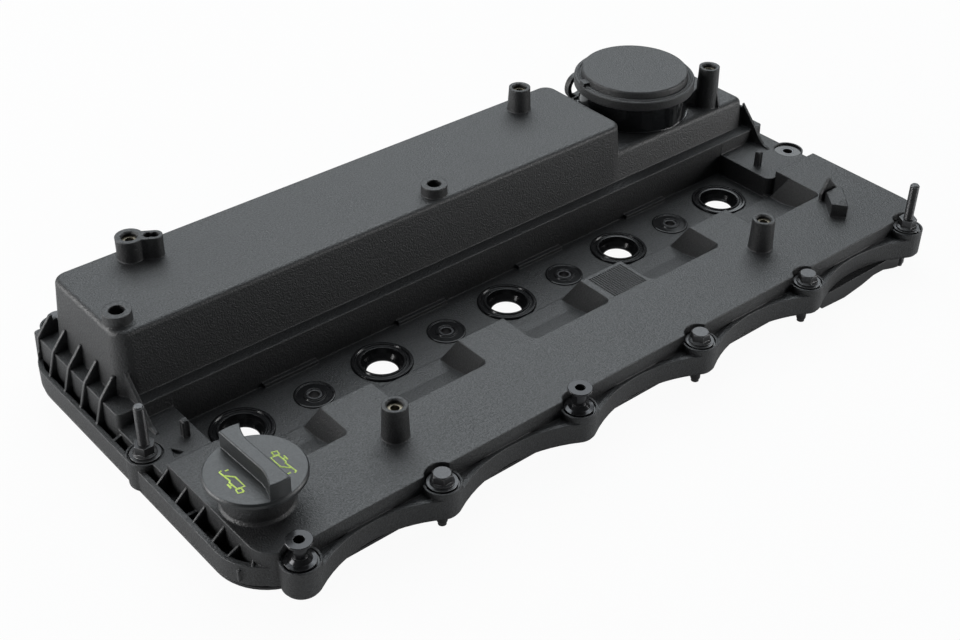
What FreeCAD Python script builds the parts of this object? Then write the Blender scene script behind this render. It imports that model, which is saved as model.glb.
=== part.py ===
import FreeCAD, Part
import math
import os

# Moulded valve cover of a five-cylinder diesel engine, with its oil separator
# housing, breather valve, oil filler cap, seals and captive fasteners.
# Millimetres, +Z up. X runs along the crankshaft, Y across the engine.
# Origin: middle of the plan, at the level of the bolt tips the cover stands on.

Vec = FreeCAD.Vector

# Cylinder layout
bore_pitch = 97.0
cylinders = 5
valley_x = -6.0              # middle of the injector row
valley_y = -9.0              # line of the injector seals

# Levels above the joint face, the plane of the cylinder head
tip_drop = 11.5              # how far the bolts reach below the joint face
gasket_thickness = 1.5
flange_thickness = 3.5
skirt_height = 14.0
boss_height = 18.0
valley_height = 3.0
tray_height = 23.0
plate_height = 18.0
ledge_height = 27.5
box_height = 67.5
deck_height = 48.0

# Mouldings
wall = 3.0
valley_floor = 2.5
skirt_wall = 3.0
web_draft = 1.0
box_draft = 3.5

# Plan of the rim
rim_half_length = 267.2
rim_half_width = 121.0
scallop_offset = 1.8         # middle of each scallop outside the rim line
rim_corner = 30.0
joint_land = 9.0             # width of the flange inside the rim line
boss_row_offset = 4.0        # bolt line outside the rim line
boss_radius = 10.6
end_boss_inset = 27.2        # from the rim's end to the corner bosses
mid_boss_inset = 8.7
mid_boss_lift = 0.5          # from the line of the injector seals
bead_width = 6.0             # sealing bead under the flange
bead_height = 1.6
bead_inset = 0.4

# Front tray between the filler neck and the far end
tray_left_inset = 10.2       # from the rim's end
tray_right_inset = 6.2
tray_front_inset = 0.5
tray_corner = 16.0
tongue_width = 34.0
tongue_slope = 13.0          # length over which the tongues fall to the valley
pocket_length = 40.5
pocket_ramp = 9.0
pocket_rise = 5.0
pocket_side_slope = 5.5
pocket_corner = 5.0
first_pocket_reach = 16.0    # from the first injector's middle
last_pocket_reach = 33.5     # from the last injector's middle
hatch_width = 27.8           # finely grooved grip field on the third tongue
hatch_inset = 2.5
hatch_depth = 0.6
hatch_pitch = 1.85
hatch_groove = 1.0

# Valley between tray and separator housing
valley_left_reach = 27.0     # from the first injector's middle
valley_right_reach = 27.5
valley_front_reach = 19.5    # from the line of the injector seals
valley_back_reach = 25.5
plate_corner = 5.0
bar_length = 37.5
bar_width = 3.0
bar_height = 2.5

# Separator housing: ledge block, tall box and low deck
block_left_inset = 7.2       # from the rim's end
block_right_inset = 9.0
block_back_inset = 6.5
block_edge = 4.0
block_corner = 13.0          # inside corners of the ledge block, plus the wall
box_left_inset = 15.2        # from the rim's end
box_front_step = 8.5         # from the valley's back edge
box_back_step = 8.0          # from the ledge block's back
box_corner = 12.0
deck_right_inset = 17.2
deck_corner = 8.0
baffle_thickness = 2.5
baffle_gap = 0.3
drain_radius = 6.0
drain_bore = 4.0
drain_depth = 16.0
baffle_walls = 4
baffle_wall = 2.0
slot_count = 6
slot_width = 12.0
slot_length = 16.0

# Breather valve on the deck
valve_inset = 92.2           # from the rim's end to the valve's axis
valve_shift = 1.75           # behind the middle of the housing
valve_box_gap = 45.5         # from the valve's axis to the tall box
neck_radius = 37.6
valve_flange_radius = 39.0
valve_flange_thickness = 2.8
valve_flange_top = 70.2      # above the joint face
seat_radius = 9.0
seat_bore = 6.5
seat_height = 60.0           # above the joint face
valve_travel = 3.0
valve_gap = 0.4
plunger_radius = 14.0
plunger_plate = 2.0
plunger_boss = 5.0
diaphragm_bead = 1.5
diaphragm_skin = 1.0
spring_radius = 11.2
spring_wire = 0.8
spring_turns = 4
spring_steps = 16            # points a turn that the wire's curve goes through
lid_radius = 41.5
lid_top_radius = 36.6
lid_shoulder = 4.0
lid_groove = 0.8
lid_room = 1.6
lid_rise = 5.8
lid_wall = 2.2
lid_hook = 1.2
lid_lug = 6.5
lid_lug_turn = 164.0
outlet_radius = 6.8
outlet_bore = 5.0
outlet_height = 55.5
outlet_reach = 58.0
outlet_turn = 60.0           # direction in plan, away from the bolts
hose_eye_step = (-18.5, 37.5)  # from the valve's axis
hose_eye_height = 55.9
hose_eye_radius = 9.6
hose_eye_bore = 6.6
hose_eye_width = 4.0

# Oil filler neck and quarter-turn cap
filler_inset = (22.0, 39.5)    # from the tray's left and front walls
filler_radius = 18.9
filler_bore = 16.6
filler_rise = 16.2
filler_foot = 1.6
cap_radius = 26.8
cap_thickness = 4.0
cap_gap = 0.4
cap_plug_radius = 14.0
cap_plug_depth = 13.0
cap_handle_height = 10.0
cap_handle_length = 50.0
cap_handle_width = 12.0
cap_handle_waist = 5.4       # width at the narrow points of the S
cap_waist_place = 12.0
cap_handle_crown = 0.7
cap_turn_start = 86.6        # direction of the handle in plan
cap_lug_reach = 16.0
cap_lug_height = 2.5
cap_lug_angle = 40.0
cap_seal_width = 2.0
cap_seal_thickness = 1.6

# Screw posts and bosses on top
post_radius = 7.1
post_foot_radius = 7.9
post_height = 21.0
post_inset = 35.5            # from the tray's front wall
post_a_shift = 0.5
post_b_shift = 1.0
post_c_inset = (42.5, 18.5)    # from the tall box's right and back walls
post_c_height = 16.0
post_d_turn = -33.4          # direction from the valve's axis
post_d_gap = 3.3             # between its foot and the lid
post_d_height = 29.0
pair_boss_inset = (49.0, 14.5)  # from the tall box's left and back walls
pair_boss_height = 13.5
slot_boss_step = (12.0, -7.5)  # from the pair boss
slot_boss_radius = 4.6
short_boss_radius = 8.1
short_boss_height = 6.5
short_boss_inset = (12.5, 17.0)  # from the tall box's left and front walls
short_boss_step = (-19.5, 13.5)  # from the valley's middle and the front wall
insert_radius = 4.4
insert_length = 9.0
insert_sink = 2.5
insert_room = 0.5
insert_bore = 2.5

# Fasteners and their grommets
screw_radius = 3.0
washer_radius = 8.4
washer_thickness = 1.6
grommet_bore = 9.5
grommet_gap = 0.1
grommet_web = 3.0
sleeve_radius = 4.5
sleeve_bore = 3.3
head_across_flats = 10.0
head_height = 4.6
head_flange_radius = 6.6
head_flange_height = 1.4
stud_top = 50.0              # above the joint face
nut_height = 5.0
spool_height = 13.5
spool_top_radius = 7.0
spool_stem_radius = 3.9
spool_flange = 1.4
tip_length = 2.0
tip_radius = 2.4
apron_offset = 3.0           # gasket apron that hangs between the last two bolts
apron_thickness = 3.0
apron_drop = 11.0

# Valley seals
seal_radius = 18.6
seal_body_radius = 16.4
seal_fit = 0.1
seal_flange = 1.4
seal_bore = 9.5
seal_depth = 8.0
valley_grommet_radius = 12.0
valley_grommet_body = 8.0
valley_grommet_depth = 6.0
valley_grommet_rise = 0.8

# Ribs and small pins
rib_thickness = 2.0
rib_pitch = 18.2
rib_first_step = 8.5         # from the tall box's front wall
rib_count = 5
rib_rise = 37.0              # rib tips above the joint face
web_step = 1.2               # solid webs below the skirt's top edge
gusset_top = 55.0
gusset_inset = 6.0
gusset_reach = 9.0
pin_height = 11.0
pin_radius = 2.6
fin_height = 15.0
fin_length = 20.0

# Levels in the part's frame
joint_z = tip_drop
rim_z = joint_z + gasket_thickness
flange_z = rim_z + flange_thickness
skirt_z = joint_z + skirt_height
boss_z = joint_z + boss_height
valley_z = joint_z + valley_height
tray_z = joint_z + tray_height
plate_z = joint_z + plate_height
ledge_z = joint_z + ledge_height
box_z = joint_z + box_height
deck_z = joint_z + deck_height
valve_flange_z = joint_z + valve_flange_top
seat_z = joint_z + seat_height
filler_z = tray_z + filler_rise
under_z = joint_z - tip_drop - 5.0   # below everything, for through cuts
over_z = box_z + 60.0                # above everything

boss_row_y = rim_half_width + boss_row_offset
scallop_y = rim_half_width + scallop_offset
end_boss_x = rim_half_length - end_boss_inset
mid_boss_x = rim_half_length - mid_boss_inset
mid_boss_y = valley_y + mid_boss_lift
injector_x = [valley_x + bore_pitch * (i - (cylinders - 1) / 2) for i in range(cylinders)]
between_x = [x + bore_pitch / 2 for x in injector_x[:-1]]
row_x = [-end_boss_x] + between_x + [end_boss_x]
bosses = [(x, -boss_row_y) for x in row_x] + [(x, boss_row_y) for x in row_x]
mid_bosses = [(-mid_boss_x, mid_boss_y), (mid_boss_x, mid_boss_y)]

# Plan of tray, valley and housing, from the rim and the injector row
tray_left = -(rim_half_length - tray_left_inset)
tray_right = rim_half_length - tray_right_inset
tray_front = -(rim_half_width - tray_front_inset)
tray_back = valley_y - valley_front_reach
tongue_back = tray_back - tongue_slope
pocket_front = tray_back - pocket_length
pocket_floor_front = pocket_front + pocket_ramp
first_pocket_left = injector_x[0] - first_pocket_reach
last_pocket_right = injector_x[-1] + last_pocket_reach
valley_left = injector_x[0] - valley_left_reach
valley_right = injector_x[-1] + valley_right_reach
valley_back = valley_y + valley_back_reach
block_left = -(rim_half_length - block_left_inset)
block_right = rim_half_length - block_right_inset
block_back = rim_half_width - block_back_inset
box_left = -(rim_half_length - box_left_inset)
box_front = valley_back + box_front_step
box_back = block_back - box_back_step
deck_right = rim_half_length - deck_right_inset
valve_x = rim_half_length - valve_inset
valve_y = (box_front + box_back) / 2 + valve_shift
box_right = valve_x - valve_box_gap
hose_eye = (valve_x + hose_eye_step[0], valve_y + hose_eye_step[1])
filler_x = tray_left + filler_inset[0]
filler_y = tray_front + filler_inset[1]
post_y = tray_front + post_inset
post_a_x = between_x[0] + post_a_shift
post_b_x = between_x[-1] + post_b_shift
post_c = (box_right - post_c_inset[0], box_back - post_c_inset[1])
post_d_reach = lid_radius + post_foot_radius + post_d_gap
post_d = (valve_x + post_d_reach * math.cos(math.radians(post_d_turn)),
          valve_y + post_d_reach * math.sin(math.radians(post_d_turn)))
pair_boss = (box_left + pair_boss_inset[0], box_back - pair_boss_inset[1])
slot_boss = (pair_boss[0] + slot_boss_step[0], pair_boss[1] + slot_boss_step[1])
short_bosses = ((box_left + short_boss_inset[0], box_front + short_boss_inset[1]),
                (valley_x + short_boss_step[0], box_front + short_boss_step[1]))
insert_depth = insert_sink + insert_length + insert_room
rib_first_y = box_front + rib_first_step


def box(x0, x1, y0, y1, z0, z1):
    return Part.makeBox(x1 - x0, y1 - y0, z1 - z0, Vec(x0, y0, z0))


def disc(radius, x, y, z0, z1):
    return Part.makeCylinder(radius, z1 - z0, Vec(x, y, z0))


def cone(r0, r1, x, y, z0, z1):
    return Part.makeCone(r0, r1, z1 - z0, Vec(x, y, z0))


def tube(r_out, r_in, x, y, z0, z1):
    return disc(r_out, x, y, z0, z1).cut(disc(r_in, x, y, z0, z1))


def fuse(shapes):
    whole = shapes[0]
    if len(shapes) > 1:
        whole = whole.multiFuse(shapes[1:])
    return whole.removeSplitter()


def rounded_wire(x0, x1, y0, y1, r, z):
    """Rectangle with round corners, as a closed wire at height z."""
    k = r * (1 - math.sqrt(0.5))
    edges = [Part.makeLine(Vec(x0 + r, y0, z), Vec(x1 - r, y0, z)),
             Part.Arc(Vec(x1 - r, y0, z), Vec(x1 - k, y0 + k, z), Vec(x1, y0 + r, z)).toShape(),
             Part.makeLine(Vec(x1, y0 + r, z), Vec(x1, y1 - r, z)),
             Part.Arc(Vec(x1, y1 - r, z), Vec(x1 - k, y1 - k, z), Vec(x1 - r, y1, z)).toShape(),
             Part.makeLine(Vec(x1 - r, y1, z), Vec(x0 + r, y1, z)),
             Part.Arc(Vec(x0 + r, y1, z), Vec(x0 + k, y1 - k, z), Vec(x0, y1 - r, z)).toShape(),
             Part.makeLine(Vec(x0, y1 - r, z), Vec(x0, y0 + r, z)),
             Part.Arc(Vec(x0, y0 + r, z), Vec(x0 + k, y0 + k, z), Vec(x0 + r, y0, z)).toShape()]
    return Part.Wire(edges)


def slab(x0, x1, y0, y1, r, z0, z1):
    """Straight-sided block with round vertical corners."""
    face = Part.Face(rounded_wire(x0, x1, y0, y1, r, z0))
    return face.extrude(Vec(0, 0, z1 - z0))


def tapered(x0, x1, y0, y1, r, z0, z1, draft):
    """Block whose walls lean in by draft from z0 to z1, as moulded walls do."""
    top_r = max(r - draft, 0.5)
    low = rounded_wire(x0, x1, y0, y1, r, z0)
    high = rounded_wire(x0 + draft, x1 - draft, y0 + draft, y1 - draft, top_r, z1)
    return Part.makeLoft([low, high], True, True)


def prism_x(points, x0, x1):
    """Solid with the outline given as (y, z) points, between two x."""
    pts = [Vec(x0, y, z) for y, z in points]
    return Part.Face(Part.makePolygon(pts + pts[:1])).extrude(Vec(x1 - x0, 0, 0))


def prism_y(points, y0, y1):
    """Solid with the outline given as (x, z) points, between two y."""
    pts = [Vec(x, y0, z) for x, z in points]
    return Part.Face(Part.makePolygon(pts + pts[:1])).extrude(Vec(0, y1 - y0, 0))


def revolve(points, x=0.0, y=0.0):
    """Turned solid from (radius, z) points about a vertical axis at x, y."""
    pts = [Vec(r, 0, z) for r, z in points]
    face = Part.Face(Part.makePolygon(pts + pts[:1]))
    solid = face.revolve(Vec(0, 0, 0), Vec(0, 0, 1), 360)
    solid.translate(Vec(x, y, 0))
    return solid


def hexagon(across_flats, x, y, z0, z1):
    radius = across_flats / math.sqrt(3)
    pts = [Vec(x + radius * math.cos(math.radians(60 * i)),
               y + radius * math.sin(math.radians(60 * i)), z0) for i in range(7)]
    return Part.Face(Part.makePolygon(pts)).extrude(Vec(0, 0, z1 - z0))


def scallop_radius(half_span):
    """Radius of the hollow curve that meets two neighbouring boss rounds."""
    rise = boss_row_offset - scallop_offset
    return (half_span ** 2 + rise ** 2 - boss_radius ** 2) / (2 * (boss_radius + rise))


def rim_solid(inset, z0, z1):
    """Rim outline with its scallops between the bolt bosses, moved in by inset."""
    half_l = rim_half_length - inset
    half_w = rim_half_width - inset
    round_r = boss_radius - inset
    shape = slab(-half_l, half_l, -half_w, half_w, rim_corner - inset, z0, z1)
    strips = []
    cutters = []
    for side in (-1, 1):
        for left, right in zip(row_x[:-1], row_x[1:]):
            half = (right - left) / 2
            radius = scallop_radius(half)
            reach = (radius - boss_row_offset + scallop_offset) / (radius + boss_radius)
            outer = side * (boss_row_y + round_r * reach)
            strips.append(box(left, right, min(side * half_w, outer), max(side * half_w, outer), z0, z1))
            centre = side * (scallop_y + radius)
            cutters.append(disc(radius + inset, left + half, centre, z0, z1))
    webs = fuse(strips).cut(Part.makeCompound(cutters))
    rounds = [disc(round_r, x, y, z0, z1) for x, y in bosses + mid_bosses]
    return fuse([shape, webs] + rounds)


def pocket(left, right, grow):
    """Ramped hollow in the tray in front of an injector, open to the valley."""
    floor = valley_z - grow
    lift = floor + pocket_rise
    top = tray_z + 1.0
    slope = pocket_side_slope
    side = prism_x([(tray_back + 4.0, floor), (tray_back - 1.0, floor), (pocket_floor_front - grow, lift),
                    (pocket_front - grow, top), (tray_back + 4.0, top)], left - grow, right + grow)
    front = prism_y([(left + slope - grow, floor), (right - slope + grow, floor),
                     (right + grow, top), (left - grow, top)], pocket_front - grow - 2, tray_back + 6)
    shape = side.common(front)
    if grow == 0:
        corners = [e for e in shape.Edges
                   if e.Vertexes[0].Point.y < pocket_floor_front + 1 and e.Vertexes[-1].Point.y < pocket_floor_front + 1
                   and abs(e.Vertexes[0].Point.z - e.Vertexes[-1].Point.z) > 5]
        shape = shape.makeFillet(pocket_corner, corners)
    return shape


def pocket_spans():
    half = (bore_pitch - tongue_width) / 2
    spans = [[x - half, x + half] for x in injector_x]
    spans[0][0] = first_pocket_left
    spans[-1][1] = last_pocket_right
    return spans


def tray_outer():
    shape = tapered(tray_left - web_draft, tray_right + web_draft, tray_front - web_draft,
                    tray_back, tray_corner, rim_z, tray_z, web_draft)
    back = box(tray_left, tray_right, tray_back - tray_corner, tray_back, rim_z, tray_z)
    shape = shape.fuse(back)
    fall = prism_x([(tray_back + 1, valley_z), (tray_back - 0.5, valley_z), (tongue_back, tray_z + 1),
                    (tray_back + 1, tray_z + 1)], first_pocket_left, last_pocket_right)
    cuts = [fall] + [pocket(a, b, 0) for a, b in pocket_spans()]
    return shape.cut(Part.makeCompound(cuts))


def tray_inner():
    inner = slab(tray_left + wall, tray_right - wall, tray_front + wall, tongue_back - wall,
                 tray_corner - wall, under_z, tray_z - wall)
    ends = [slab(tray_left + wall, first_pocket_left - wall, tongue_back - 20, tray_back - wall, 3,
                 under_z, tray_z - wall),
            slab(last_pocket_right + wall, tray_right - wall, tongue_back - 20, tray_back - wall, 3,
                 under_z, tray_z - wall)]
    inner = fuse([inner] + ends)
    shells = [pocket(a, b, valley_floor) for a, b in pocket_spans()]
    return inner.cut(Part.makeCompound(shells))


def plate_outer():
    left = box(block_left, valley_left, tray_back, valley_back + wall, rim_z, plate_z)
    right = box(valley_right, tray_right, tray_back, valley_back + wall, rim_z, plate_z)
    corner = [e for e in right.Edges
              if all(abs(v.X - valley_right) < 0.1 and abs(v.Y - tray_back) < 0.1 for v in e.Vertexes)]
    right = right.makeFillet(plate_corner, corner)
    floor = box(valley_right - 1, valley_right + plate_corner, tray_back - 1, tray_back + plate_corner,
                valley_z - valley_floor, valley_z)
    return [left, right, floor]


def plate_inner():
    left = box(tray_left + wall, valley_left - wall, tray_back - wall - 1, valley_back + wall + 1,
               under_z, plate_z - wall)
    right = box(valley_right + plate_corner + wall, block_right - wall, tray_back + wall, valley_back + wall + 1,
                under_z, plate_z - wall)
    beside = box(last_pocket_right + wall, block_right - wall, tray_back - wall - 1, tray_back + wall + 1,
                 under_z, plate_z - wall)
    return [left, right, beside]


def housing_outer():
    block = tapered(block_left - web_draft, block_right + web_draft, valley_back - web_draft,
                    block_back + web_draft, block_edge, rim_z, ledge_z, web_draft)
    tall = tapered(box_left, box_right, box_front, box_back, box_corner, ledge_z, box_z, box_draft)
    rounded = [e for e in tall.Edges if min(v.Point.z for v in e.Vertexes) > box_z - 0.1]
    tall = tall.makeFillet(3.0, rounded)
    low = tapered(box_right - 30, deck_right, box_front, box_back, deck_corner, ledge_z, deck_z, box_draft)
    rounded = [e for e in low.Edges if min(v.Point.z for v in e.Vertexes) > deck_z - 0.1]
    low = low.makeFillet(4.0, rounded)
    return [block, tall, low]


def housing_inner():
    block = slab(block_left + wall, block_right - wall, valley_back + wall, block_back - wall,
                 block_corner - wall, under_z, ledge_z - wall)
    tall = tapered(box_left + wall, box_right - wall, box_front + wall, box_back - wall, box_corner - wall,
                   ledge_z - wall - 1, box_z - wall, box_draft)
    low = tapered(box_right - 40, deck_right - wall, box_front + wall, box_back - wall, deck_corner - wall,
                  ledge_z - wall - 1, deck_z - wall, box_draft)
    return [block, tall, low]


def left_ribs():
    ribs = []
    inner = -(rim_half_length - skirt_wall)
    outer = inner + 0.6 - skirt_wall / 2
    for i in range(rib_count):
        y = rib_first_y + rib_pitch * i
        ribs.append(prism_y([(outer, flange_z - 1), (outer, skirt_z + 0.3), (box_left + 1.0, joint_z + rib_rise - 0.8),
                             (box_left + 2.7, joint_z + rib_rise), (box_left + 4.5, joint_z + rib_rise),
                             (box_left + 4.5, flange_z - 1)], y - rib_thickness / 2, y + rib_thickness / 2))
    outline = slab(-rim_half_length + 0.5, rim_half_length, -rim_half_width, rim_half_width - 0.5,
                   rim_corner, flange_z - 1, over_z)
    ribs = [rib.common(outline) for rib in ribs]
    for step in (-28.0, -51.5, -66.5, -77.5):
        y = tray_back + step
        ribs.append(box(inner - 0.5, tray_left + 6, y - 0.9, y + 0.9, flange_z - 1, skirt_z - 3))
    for side, foot in ((-1, block_left), (1, block_right)):
        y = valley_back - 2.0
        x = side * (rim_half_length - skirt_wall + 0.5)
        ribs.append(prism_y([(x, flange_z - 1), (x, skirt_z), (foot - side * gusset_reach, plate_z + 0.6),
                             (foot - side * gusset_reach, flange_z - 1)], y, y + 1.8))
    for x in (box_left + gusset_inset, deck_right - 0.5 * gusset_inset + 1.0):
        ribs.append(prism_x([(box_front + 3.0, gusset_top), (box_front + 3.0, plate_z - 1),
                             (valley_back - 16.0, plate_z - 1), (valley_back - 16.0, plate_z + 0.8),
                             (valley_back - 11.0, plate_z + 2.0), (valley_back - 6.5, plate_z + 6.0),
                             (valley_back - 0.5, ledge_z + 3.5)],
                            x - rib_thickness / 2, x + rib_thickness / 2))
    return ribs


def small_posts():
    shapes = []
    for x in (post_a_x, post_b_x):
        shapes.append(cone(post_foot_radius, post_radius, x, post_y, tray_z - 1, tray_z + post_height))
    shapes.append(cone(post_foot_radius, post_radius, post_c[0], post_c[1], box_z - 1, box_z + post_c_height))
    shapes.append(cone(post_foot_radius, post_radius, post_d[0], post_d[1], deck_z - 1, deck_z + post_d_height))
    to_neck = post_d_reach - neck_radius + 1.0
    for turn, reach in ((180 + post_d_turn, to_neck), (post_d_turn - 32, post_foot_radius + 2)):
        gusset = prism_y([(0, 0), (reach, 0), (reach, 4.5), (post_foot_radius - 1, 17), (0, 17)], -1, 1)
        gusset.rotate(Vec(0, 0, 0), Vec(0, 0, 1), turn)
        gusset.translate(Vec(post_d[0], post_d[1], deck_z - 4))
        shapes.append(gusset)
    shapes.append(disc(short_boss_radius, pair_boss[0], pair_boss[1], box_z - 1, box_z + pair_boss_height))
    run = Vec(slot_boss[0] - pair_boss[0], slot_boss[1] - pair_boss[1], 0)
    arm = box(0, run.Length, -slot_boss_radius, slot_boss_radius, 0, pair_boss_height + 1)
    arm.rotate(Vec(0, 0, 0), Vec(0, 0, 1), math.degrees(math.atan2(run.y, run.x)))
    arm.translate(Vec(pair_boss[0], pair_boss[1], box_z - 1))
    shapes.append(arm)
    shapes.append(disc(slot_boss_radius, slot_boss[0], slot_boss[1], box_z - 1, box_z + pair_boss_height))
    for x, y in short_bosses:
        shapes.append(disc(short_boss_radius, x, y, box_z - 4, box_z + short_boss_height))
    for x in (valley_left - 7.6, valley_right + 9.2):
        stem = disc(pin_radius - 0.9, x, valley_y - 0.7, plate_z - 1, plate_z + pin_height)
        for turn in (0, 90):
            vane = box(-pin_radius, pin_radius, -0.6, 0.6, plate_z - 1, plate_z + pin_height - 0.5)
            vane.rotate(Vec(0, 0, 0), Vec(0, 0, 1), turn + 45)
            vane.translate(Vec(x, valley_y - 0.7, 0))
            stem = stem.fuse(vane)
        shapes.append(stem)
    return shapes


def hatch_grooves():
    """Fine grooves of the grip field on the third tongue, parallel to Y."""
    middle = between_x[2] + 1.0
    count = int(hatch_width / hatch_pitch)
    first = middle - hatch_pitch * (count - 1) / 2
    return [box(first + hatch_pitch * i - hatch_groove / 2, first + hatch_pitch * i + hatch_groove / 2,
                pocket_front + hatch_inset, tongue_back - hatch_inset + 0.5, tray_z - hatch_depth, tray_z + 1)
            for i in range(count)]


def fins():
    """Two hose-guide fins on the tray beyond the last pocket."""
    x = last_pocket_right - 7.0
    y = pocket_front - 3.5
    first = prism_y([(x, tray_z - 1), (x + fin_length, tray_z - 1), (x + fin_length, tray_z),
                     (x + 6.5, tray_z + fin_height), (x, tray_z + 5)], y - 1.2, y + 1.2)
    low = [Vec(x + 5, y + 0.8, tray_z - 1), Vec(x - 11, y - 17.5, tray_z - 1), Vec(x - 3.5, y - 25, tray_z - 1),
           Vec(x + 12, y - 8, tray_z - 1), Vec(x + 17, y + 0.8, tray_z - 1)]
    second = Part.Face(Part.makePolygon(low + low[:1])).extrude(Vec(0, 0, fin_height + 1))
    trim = prism_x([(y - 30, tray_z + 8), (y - 18, tray_z + 9.5), (y - 4, tray_z + 8), (y + 1, tray_z + 3),
                    (y + 1, tray_z + fin_height + 5), (y - 30, tray_z + fin_height + 5)], x - 20, x + 30)
    return [first, second.cut(trim)]


def outlet():
    """Breather spigot behind the valve, and the hose eye beside it."""
    way = Vec(math.cos(math.radians(outlet_turn)), math.sin(math.radians(outlet_turn)), 0)
    axis = Vec(valve_x, valve_y, joint_z + outlet_height)
    start = neck_radius - 5
    pipe = Part.makeCylinder(outlet_radius, outlet_reach - start, axis + way * start, way)
    x, y = hose_eye
    z = joint_z + hose_eye_height
    half = hose_eye_width / 2
    eye = Part.makeCylinder(hose_eye_radius, hose_eye_width, Vec(x, y - half, z), Vec(0, 1, 0))
    foot = box(x - 6, x + 6, y - half - 2, y + half, deck_z - 8, z - hose_eye_bore)
    hole = Part.makeCylinder(hose_eye_bore, hose_eye_width + 6, Vec(x, y - half - 3, z), Vec(0, 1, 0))
    return [pipe, eye.fuse(foot).cut(hole)]


def insert_places():
    tops = [(post_a_x, post_y, tray_z + post_height), (post_b_x, post_y, tray_z + post_height),
            (post_c[0], post_c[1], box_z + post_c_height), (post_d[0], post_d[1], deck_z + post_d_height),
            (pair_boss[0], pair_boss[1], box_z + pair_boss_height)]
    return tops


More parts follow.
